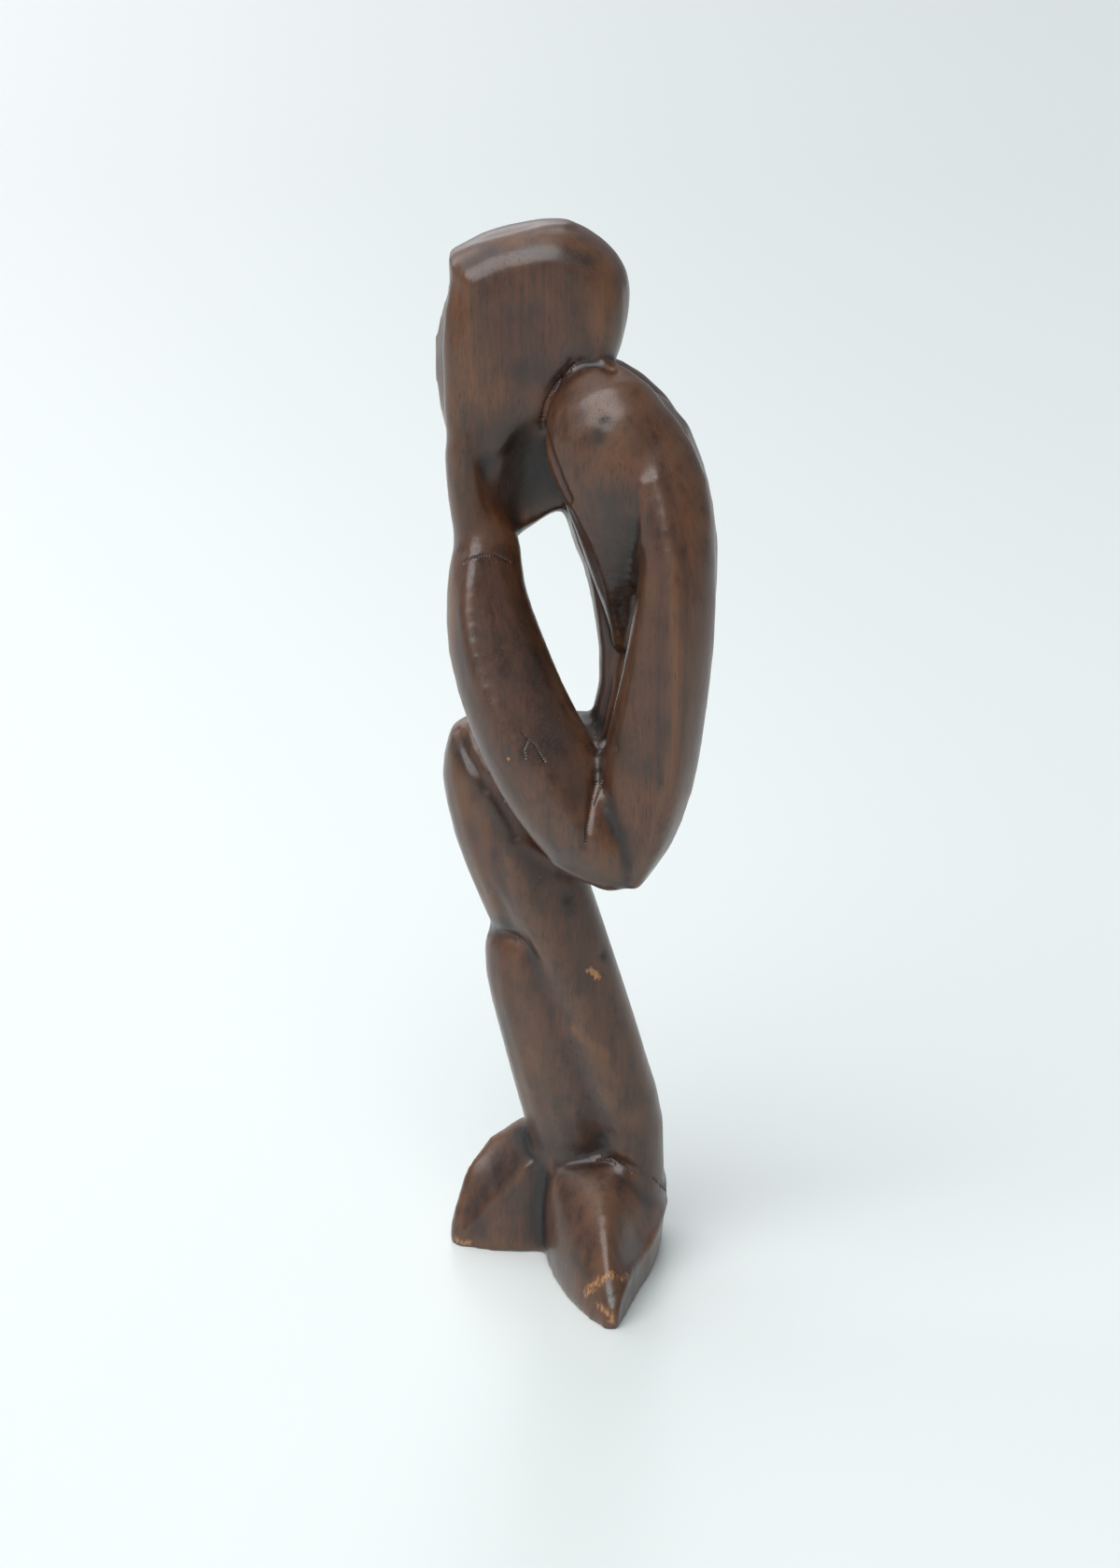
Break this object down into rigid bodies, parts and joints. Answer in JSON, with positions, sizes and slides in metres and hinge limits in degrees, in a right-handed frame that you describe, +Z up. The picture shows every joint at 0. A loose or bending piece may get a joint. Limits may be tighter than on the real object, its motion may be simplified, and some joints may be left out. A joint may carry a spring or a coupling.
{
  "type": "carved wooden thinker figure",
  "caption": "Abstract carved wooden thinker: a bowed blank head rests on raised wrists, long arms make open loops over drawn-up knees, and pointed feet stand at a right angle.",
  "frame": {"origin": "centre of the bounding box on the plane of the soles", "axes": "+Z up, -X the way the bowed head faces, -Y the side that the picture shows"},
  "size_m": [0.0754, 0.0858, 0.2955],
  "materials": {
    "carved_wood": "dark brown, waxed to a satin sheen, worn lighter on edges"
  },
  "bodies": {
    "root": {"thinker_figure": "carved_wood"}
  },
  "joints": []
}
